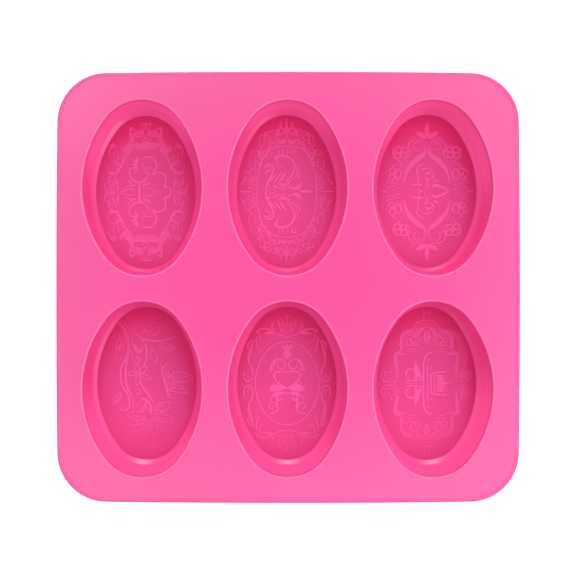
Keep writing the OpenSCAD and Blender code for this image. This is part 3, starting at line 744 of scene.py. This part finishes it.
def crowned_heart():
    quarter = (
        oval_line((0, 0), 15.5, 20.3, 0, 90, 0.9)
        # crown
        + line((0, 24.8), (2.8, 25)) + line((0, 26), (2.9, 26.1))
        + flow((2.8, 25), (3.6, 28), (4.5, 30.4), w=0.9)
        + flow((4.5, 30.4), (3.4, 31), (2.4, 30.4)) + flow((2.4, 30.4), (1.4, 28.6), (0.4, 27.4))
        + line((2.6, 29), (1.9, 27.2), w=0.65) + line((0, 28.6), (0, 33.2)) + dot((0, 32.6), 1.4)
        + sweep((0, 22.9), (4, 22.9), (6, 25), (8.4, 25.2), 1.1)
        + sweep((5, 24), (8, 25.6), (12, 28.4), (15.2, 24.6), 1.3)
        + leaf((6, 24.6), -4, 6, 1.6) + sweep((6.2, 26.2), (7.6, 26.6), (7.6, 28), (6.9, 29.4), 1.2)
        # corners and sides
        + sweep((14, 25), (12.8, 23.8), (14, 21.6), (12.6, 20.4), 1)
        + line((12.7, 20.5), (11.4, 20.2), w=0.9)
        + sweep((14.8, 22.8), (15.2, 20), (14.4, 18), (13.9, 15.6), 1)
        + sweep((15, 20.7), (17, 21), (19.6, 20.4), (19.2, 17), 1.1)
        + low(flow((16.6, 20.2), (17.8, 16.8), (18.6, 12.8), (18.6, 11), w=2.2, thin=0.3), 0.8)
        + sweep((18.8, 12.6), (19.4, 8.8), (16.4, 8.6), (16.7, 4), 1.2)
        + curl((19, 3.4), 2.3, 2.1, 190, 370, 1.1) + line((21.1, 3.6), (21.1, 5.8), w=1)
        + curl((18.6, 3.8), 1, 0.6, 220, 440, 0.8))
    half = (
        # pineapple
        leaf((1, 16.4), 62, 2.8, 1.1) + bow((0.9, 14), 1.2, -60, 120, 0.8)
        # horns
        + curl((3, 9), 1.7, 2.3, 20, -235, 1.1)
        + sweep((1.6, 10.8), (4, 13.6), (8.6, 10.8), (8.3, 5.8), 1.2)
        + sweep((5, 10.8), (6.6, 10), (7, 8), (6.4, 6.2), 0.9) + bow((7, 7.4), 1, -100, 90, 0.8)
        # heart
        + sweep((0, 5.3), (3, 6.2), (8.6, 6.2), (5.4, 1.4), 1.25)
        + line((5.4, 1.5), (4.3, 0.2), (0, -2.6), w=1.1)
        # garland
        + leaf((0.6, -2.3), -8, 8.6, 2.6) + leaf((3.6, -0.8), -14, 5.4, 1.8)
        + leaf((1, -1.2), -18, 4.4, 1.4)
        + dot((6.4, 0), 1.1)
        # lower scrolls
        + sweep((0, -4.8), (3, -4.5), (7.6, -4.4), (8.1, -8.2), 1.2)
        + curl((3.6, -7), 1.8, 1.2, 140, -160, 1.1)
        + dot((3.4, -7.2), 1.2) + sweep((5.5, -5.8), (5, -9), (4.2, -12), (4.9, -13.6), 1)
        + sweep((4.8, -13.4), (6, -13.6), (7, -15.2), (8.4, -14.6), 1.1)
        + curl((7.2, -11.2), 2, 1.3, 200, -130, 1) + dot((7.2, -11.2), 1.2) + dot((6, -5.6), 1))
    middle = leaf((0, 11.7), 90, 6.2, 3.4) + leaf((0, 16.6), 90, 3, 1.2)
    return worn(four_ways(quarter)) + both_sides(half) + low(middle, 0.8)


def bracket_fan():
    quarter = (
        # stepped frame, in double lines
        line((1.4, 30.6), (1.4, 33.4)) + bow((0, 33.3), 1.4, 0, 90)
        + flow((0, 30.4), (3, 30.2), (5.6, 28.6), (6.4, 26.4), (8, 26), (10.6, 25.4), (12.4, 23), (13, 19),
               (12.6, 16), (15, 15), (16, 13), (15.2, 8.6), (14.6, 5.6), (13.8, 3.4), w=0.9)
        + flow((0, 28.8), (2.8, 28.6), (4.6, 27.2), (5.2, 25), (8, 24.6), (10.2, 23.6), (11.4, 21.4),
               (11.5, 17.6))
        + flow((9.6, 14.6), (12, 14), (14.4, 13.4), (14, 9), (13.2, 6))
        + low(flow((5.9, 26.6), (8, 25.3), (10.8, 24.2), (12.2, 21.6), (12.2, 17), w=1.8, thin=0.6), 0.6)
        + low(flow((11, 14.8), (14.6, 14.2), (15.1, 11), (14.2, 6.4), w=1.4, thin=0.6), 0.6)
        + low(flow((0.4, 27.2), (3.4, 26.2), (4.4, 23.6), (6.6, 22.8), w=2, thin=0.6), 0.6)
        # hatching in the corners
        + line((5, 23.7), (9.2, 23.4), w=0.7) + curl((6.4, 20.8), 1.9, 1.0, 60, -200, 0.75)
        + curl((8.6, 19.6), 1.9, 0.8, 100, 400, 0.75) + line((4.6, 18.8), (7.2, 18.6), w=0.75)
        + line((7.8, 21.8), (10.2, 22.2), w=0.75) + line((4.8, 22.6), (6.8, 22.3), w=0.7)
        + line((5.6, 17.1), (9.6, 16.8), w=0.7) + line((6, 15.8), (9, 15.4), w=0.7)
        + line((4.2, 18.6), (4.6, 22.8), w=0.7)
        + line((9.9, 18.6), (10, 21.4), w=0.7)
        + bow((1.8, 24.4), 1.4, 40, 260, 0.8) + leaf((0.4, 19.2), 82, 6.4, 1.1)
        + bow((2.2, 21.4), 1, -90, 120)
        + leaf((3.2, 23.6), 84, 2.6, 0.9) + line((1.8, 26.8), (3.6, 26), w=0.7))
    loops = (
        flow((-14.4, 4.4), (-14.8, 2), (-17, 0.9), (-20.4, 1.1), (-22, 3), (-22, 5.2), (-20.6, 6.6),
             w=0.9)
        + flow((-15.6, 5.6), (-16, 3.4), (-18, 2.6), (-20.2, 3.2), (-20.6, 5.2))
        + line((-20.4, 5.6), (-15.8, 5.6))
        + dot((-17.2, 7.4), 1.6)
        + flow((14.4, 4.4), (15, 2), (17, 0.9), (20.4, 1.4), (21.8, 4), (20.6, 6.4)) + dot((17, 7.4), 1.4)
        + low(oval_line((18.2, 4.2), 1.3, 1.6, 0, 360, 2.4), 0.45))
    swell = low(flow((12, 25.6), (15.6, 22), (17.6, 17), (18.4, 12), (18.6, 8), w=5.5, thin=0.5), 0.3)
    half = (
        sweep((-1.5, 0), (-1.8, 9), (-1.6, 14.6), (1.6, 15), 1.2, 0.9) + dot((2.2, 15), 1.7)
        + line((0.4, 0), (0.3, 8.6), w=1) + dot((2.2, 7.6), 1.5) + bow((1.2, 11), 0.9, 60, 260, 0.8)
        + curl((-7.7, 4.6), 2.7, 2.4, -40, 250, 1.2) + leaf((-5.2, 2), 92, 9.4, 1.8)
        + leaf((-2.9, 1.6), 104, 8, 1.5)
        + bow((-7.6, 4.6), 3.4, -100, -10, 0.8) + line((-10, 1.3), (-4.6, 1.2), w=1)
        + line((-10.2, 0), (-1.8, 0), w=0.6) + line((-4.4, 1.5), (-1.8, 1.7), w=0.8)
        + line((-3.4, 3.2), (-1.8, 3.5), w=0.7)
        + sweep((1.6, 4), (2.2, 5.4), (5, 5.2), (9.2, 5.9), 1.2) + dot((8.9, 5.6), 1.6)
        + line((2.2, 0), (2.2, 4.4), w=1) + line((3.6, 0), (3.6, 4), w=0.8)
        + leaf((4, 3.6), 2, 5, 1) + leaf((4.2, 2.3), 2, 5.8, 1) + leaf((4.2, 1.1), 1, 5.2, 0.9)
        + dot((6.6, 3.4), 1.2))
    return worn(four_ways(quarter) + both_ends(loops + half)) + leaf((5.4, 0), 0, 6.6, 1.1) + swell


ORNAMENTS = {
    "relief_leaf_cartouche": leaf_cartouche,
    "relief_lace_palmette": lace_palmette,
    "relief_damask_scrolls": damask_scrolls,
    "relief_vine_and_butterfly": vine_and_butterfly,
    "relief_crowned_heart": crowned_heart,
    "relief_bracket_fan": bracket_fan,
}
CELL = 0.2                   # size of an ornament's mesh squares
LEAST_RISE = 0.02            # squares lower than this, as a sum of four corners, are left out
SUNK = 0.05                  # how far an ornament's edge lies below the floor's surface
ROOT_DEPTH = 0.3             # how far its underside lies below it
SWELL_SHARE = 0.4            # strokes up to this share of the full height have a soft edge


def height_map(strokes):
    """Heights of the rounded ridges on a grid, which is then smoothed a little."""
    half_x, half_y = 24.0, 37.0
    xs, ys = np.arange(-half_x, half_x + CELL, CELL), np.arange(-half_y, half_y + CELL, CELL)
    h = np.zeros((len(ys), len(xs)))
    for stroke in strokes:
        for x, y, w, share in stroke:
            r = w / 2 + CELL / 4
            i0, i1 = int((x - r + half_x) / CELL), int((x + r + half_x) / CELL) + 2
            j0, j1 = int((y - r + half_y) / CELL), int((y + r + half_y) / CELL) + 2
            i0, j0 = max(i0, 0), max(j0, 0)
            dx, dy = xs[i0:i1] - x, ys[j0:j1] - y
            q = 1 - (dx[None, :] ** 2 + dy[:, None] ** 2) / r ** 2
            crest = RELIEF_RISE * share * min(1, 0.55 + 0.45 * w)
            ridge = crest * np.clip(q, 0, 1) ** (0.5 if share > SWELL_SHARE else 1)
            patch = h[j0:j1, i0:i1]
            np.maximum(patch, ridge[:patch.shape[0], :patch.shape[1]], out=patch)
    soft = h.copy()
    soft[1:-1, 1:-1] = (4 * h[1:-1, 1:-1] + h[:-2, 1:-1] + h[2:, 1:-1] + h[1:-1, :-2] + h[1:-1, 2:]) / 8
    return xs, ys, soft


def ornament(name, cup, strokes):
    """A closed mesh of the squares that stand above the floor, with its root a little below."""
    xs, ys, h = height_map(strokes)
    cols = h.shape[1]
    used = (h[:-1, :-1] + h[1:, :-1] + h[:-1, 1:] + h[1:, 1:]) > LEAST_RISE
    j, i = np.nonzero(used)
    corners = np.stack([j * cols + i, j * cols + i + 1, (j + 1) * cols + i + 1, (j + 1) * cols + i], 1)
    ids, quads = np.unique(corners, return_inverse=True)
    quads = quads.reshape(-1, 4)
    x, y = xs[ids % cols], ys[ids // cols]
    cx, cy = cup_centre(cup)
    top = np.column_stack([x + cx, y + cy, FLOOR_TOP + h.ravel()[ids] - SUNK])
    under = top.copy()
    under[:, 2] = FLOOR_TOP - ROOT_DEPTH
    n = len(ids)
    edges = np.concatenate([quads[:, [0, 1]], quads[:, [1, 2]], quads[:, [2, 3]], quads[:, [3, 0]]])
    codes, back = edges[:, 0] * n + edges[:, 1], edges[:, 1] * n + edges[:, 0]
    rim = edges[~np.isin(codes, back)]
    skirt = np.column_stack([rim[:, 1], rim[:, 0], rim[:, 0] + n, rim[:, 1] + n])
    faces = np.concatenate([quads, quads[:, ::-1] + n, skirt])
    points = sway(np.concatenate([top, under]), cup)
    piece = make_piece(name.replace("relief", "ornament"), points, faces.tolist(), RAISED, 70)
    settle(piece, "ornament", name)


# ---------------------------------------------------------------- the moulding

def sheet():
    holes = [oval(0) + cup_centre(cup) for cup in CUPS]
    points, faces = plate(outline(BEAD_W), holes, DECK_UNDER, DECK_TOP, spacing=4.0)
    settle(make_piece("sheet", points, faces, SHEET), "sheet", "deck")


def edge_bead():
    """Rounded over the top, with a small round under its outer side."""
    r = BEAD_W / 2
    under_r = 0.5
    rise = BEAD_TOP - DECK_TOP
    section = [(BEAD_W, DECK_TOP - 0.6)]
    section += [(BEAD_W - (BEAD_W - r) * t, DECK_TOP + rise * math.sin(math.pi / 2 * t) ** 2)
                for t in (0, 0.2, 0.4, 0.6, 0.8)]
    section += [(r - r * math.cos(math.radians(a)), BEAD_TOP - r + r * math.sin(math.radians(a)))
                for a in range(90, -1, -10)]
    section += [(0, BEAD_TOP - 1.6), (0, BEAD_UNDER + 0.8)]
    section += [(under_r - under_r * math.cos(math.radians(a)),
                 BEAD_UNDER + under_r - under_r * math.sin(math.radians(a)))
                for a in range(0, 91, 18)]
    section += [(BEAD_W, BEAD_UNDER)]
    points, faces = sweep_ring([at_height(outline(inset), z) for inset, z in section])
    settle(make_piece("edge_bead", points, faces, SHEET), "sheet", "rim_bead")


def wall_section():
    """From the lip down the inside, under the foot and back up the outside."""
    lip = [(-LIP_R * math.sin(math.radians(a)), DECK_TOP - LIP_R + LIP_R * math.cos(math.radians(a)))
           for a in range(0, 91, 15)]
    turn_z = FLOOR_TOP + BEVEL_H
    straight = [(-LIP_R - WALL_LEAN * t, DECK_TOP - LIP_R + (turn_z + 0.9 - DECK_TOP + LIP_R) * t)
                for t in (0.25, 0.5, 0.75, 1)]
    ease = [(WALL_FOOT_IN - 0.08, turn_z + 0.45), (WALL_FOOT_IN - 0.32, turn_z + 0.08)]
    bevel = [(WALL_FOOT_IN - BEVEL_W * t, FLOOR_TOP + BEVEL_H * (1 - t)) for t in (0.25, 0.5, 0.75, 1)]
    under = [(FLOOR_EDGE, 0.0)]
    foot = [(WALL_OUT - FOOT_R + FOOT_R * math.sin(math.radians(a)),
             FOOT_R - FOOT_R * math.cos(math.radians(a)))
            for a in range(0, 91, 10)]
    outside = [(WALL_OUT, DECK_UNDER * t) for t in (0.4, 0.7, 1)] + [(0, DECK_UNDER)]
    return lip + straight + ease + bevel + under + foot + outside


LIP_SPANS = 4                # spans of the section, from the sheet inward, that carry the painted lip highlight


def cup(name):
    centre = cup_centre(name)
    section = wall_section()
    points, faces = sweep_ring([at_height(oval(grow) + centre, z) for grow, z in section])
    piece = make_piece("cup_" + name, sway(points, name), faces, WALL, 28)
    # the lip's spans take the paler colour of the painted highlight
    piece.data.materials.append(LIP_HIGHLIGHT)
    n = len(faces) // len(section)
    for face in piece.data.polygons[:LIP_SPANS * n]:
        face.material_index = 1
    settle(piece, "cup_wall", "cup_wall_" + name)


def cup_floor(name):
    """A solid plate inside the wall's foot, with the wall's material on its underside."""
    centre = cup_centre(name)
    rings = [at_height(oval(FLOOR_EDGE) * t + centre, FLOOR_TOP) for t in (0.05, 0.3, 0.55, 0.8, 1)]
    rings += [at_height(oval(FLOOR_EDGE) * t + centre, 0.0) for t in (1, 0.55, 0.05)]
    points, faces = sweep_ring(rings)
    n = len(rings[0])
    last = len(rings) - 1
    faces = [f for f in faces if not (min(f) < n and max(f) >= last * n)]
    faces += [tuple(range(n)), tuple(range(last * n, len(points)))[::-1]]
    piece = make_piece("floor_" + name, sway(points, name), faces, FLOOR)
    piece.data.materials.append(WALL)
    for face in piece.data.polygons:
        if face.center.z < FLOOR_TOP / 2 * MM:
            face.material_index = 1
    settle(piece, "cup_floor", "cup_base_" + name)


sheet()
edge_bead()
for name in CUPS:
    cup(name)
    cup_floor(name)
for (name, draw), cup_name in zip(ORNAMENTS.items(), CUPS):
    ornament(name, cup_name, draw())


# ---------------------------------------------------------------- setting

def stage_floor():
    mesh = bpy.data.meshes.new("floor")
    half = 6.0
    corners = [(-half, -half, 0), (half, -half, 0), (half, half, 0), (-half, half, 0)]
    mesh.from_pydata(corners, [], [(0, 1, 2, 3)])
    material = bpy.data.materials.new("pale_floor")
    material.use_nodes = True
    shader = material.node_tree.nodes["Principled BSDF"]
    shader.inputs["Base Color"].default_value = (0.93, 0.93, 0.93, 1)
    shader.inputs["Roughness"].default_value = 0.8
    shader.inputs["Emission Color"].default_value = (1, 1, 1, 1)
    shader.inputs["Emission Strength"].default_value = 0.25
    mesh.materials.append(material)
    floor = bpy.data.objects.new("floor", mesh)
    bpy.context.scene.collection.objects.link(floor)
    floor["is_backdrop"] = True


# the light tent: brightness by angle from overhead, in degrees
TENT = [(90, 1.0), (60, 0.74), (30, 0.78), (20, 3.2), (12, 3.2), (9.8, 0.2)]
TENT_TILT = 0.6              # how far it leans to the back, in degrees
HOLE_SHAPE = 1.2             # the dim hole overhead is wider than it is long
# soft boxes added to it: turn from +X, angle from overhead, half width, brightness
BOXES = [
    (0, 44, 24, 1.5),
    (180, 44, 24, 0.5),
    (84, 58, 12, 6.5),
    (96, 58, 12, 6.5),
    (135, 17, 6, 1.8),
    # the left and near sides are darker
    (200, 68, 26, -0.35),
    (270, 60, 30, -0.7),
]
BOX_CORE = 0.3               # share of a box's half width that has its full brightness

# a near box, so the far left corner is a little darker
FILL_POWER, FILL_SIZE, FILL_PLACE = 1.1, 0.4, (0.45, -0.30, 0.50)


def towards(turn, from_overhead):
    turn, lean = math.radians(turn), math.radians(from_overhead)
    return math.sin(lean) * math.cos(turn), math.sin(lean) * math.sin(turn), math.cos(lean)


def lighting():
    """Soft light from all round, dim where the camera is, with brighter and darker patches."""
    world = bpy.data.worlds.new("tent")
    world.use_nodes = True
    tree = world.node_tree
    nodes, links = tree.nodes, tree.links
    where = nodes.new("ShaderNodeTexCoord")

    def closeness(vector, direction):
        node = nodes.new("ShaderNodeVectorMath")
        node.operation = "DOT_PRODUCT"
        links.new(vector, node.inputs[0])
        node.inputs[1].default_value = direction
        return node.outputs["Value"]

    ramp = nodes.new("ShaderNodeValToRGB")
    brightest = max(radiance for _, radiance in TENT)
    stops = ramp.color_ramp.elements
    for k, (angle, radiance) in enumerate(TENT):
        at = math.cos(math.radians(angle))
        stop = stops[k] if k < 2 else stops.new(at)
        stop.position = at
        stop.color = (radiance / brightest,) * 3 + (1,)
    wide = nodes.new("ShaderNodeMapping")
    wide.vector_type = "NORMAL"
    wide.inputs["Scale"].default_value = (HOLE_SHAPE, 1, 1)
    links.new(where.outputs["Generated"], wide.inputs["Vector"])
    links.new(closeness(wide.outputs["Vector"], towards(90, TENT_TILT)), ramp.inputs["Fac"])
    total = nodes.new("ShaderNodeMath")
    total.operation = "MULTIPLY"
    total.inputs[1].default_value = brightest
    links.new(ramp.outputs["Color"], total.inputs[0])
    for turn, angle, half, radiance in BOXES:
        box = nodes.new("ShaderNodeMapRange")
        box.interpolation_type = "SMOOTHSTEP"
        box.inputs["From Min"].default_value = math.cos(math.radians(half))
        box.inputs["From Max"].default_value = math.cos(math.radians(BOX_CORE * half))
        box.inputs["To Max"].default_value = radiance
        links.new(closeness(where.outputs["Generated"], towards(turn, angle)), box.inputs["Value"])
        both = nodes.new("ShaderNodeMath")
        links.new(total.outputs["Value"], both.inputs[0])
        links.new(box.outputs["Result"], both.inputs[1])
        total = both
    nodes["Background"].inputs["Color"].default_value = (1, 1, 1, 1)
    links.new(total.outputs["Value"], nodes["Background"].inputs["Strength"])
    bpy.context.scene.world = world

    data = bpy.data.lights.new("fill_box", "AREA")
    data.shape, data.size = "SQUARE", FILL_SIZE
    data.energy = FILL_POWER
    fill = bpy.data.objects.new("fill_box", data)
    fill.location = FILL_PLACE
    fill.rotation_euler = Vector(FILL_PLACE).to_track_quat("Z", "Y").to_euler()
    bpy.context.scene.collection.objects.link(fill)
    fill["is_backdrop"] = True


def camera():
    """Straight down from a little left of the middle, with the lens shifted to centre the mould."""
    data = bpy.data.cameras.new("camera")
    data.sensor_width = 36.0
    above_sheet = 477.0
    view_width = 266.5           # what the frame takes in, at the sheet's height
    left, up = 8.5, 2.7          # how far the lens is off the mould's middle
    aim_x, aim_y = -0.1, -0.3    # what the middle of the frame shows
    data.lens = data.sensor_width * above_sheet / view_width
    data.shift_x = (aim_x + left) / view_width
    data.shift_y = (aim_y - up) / view_width
    data.clip_start, data.clip_end = 0.01, 20
    cam = bpy.data.objects.new("camera", data)
    cam.location = (-left * MM, up * MM, (DECK_TOP + above_sheet) * MM)
    bpy.context.scene.collection.objects.link(cam)
    bpy.context.scene.camera = cam


stage_floor()
lighting()
camera()
bpy.context.scene.view_settings.view_transform = "Standard"

low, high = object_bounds()
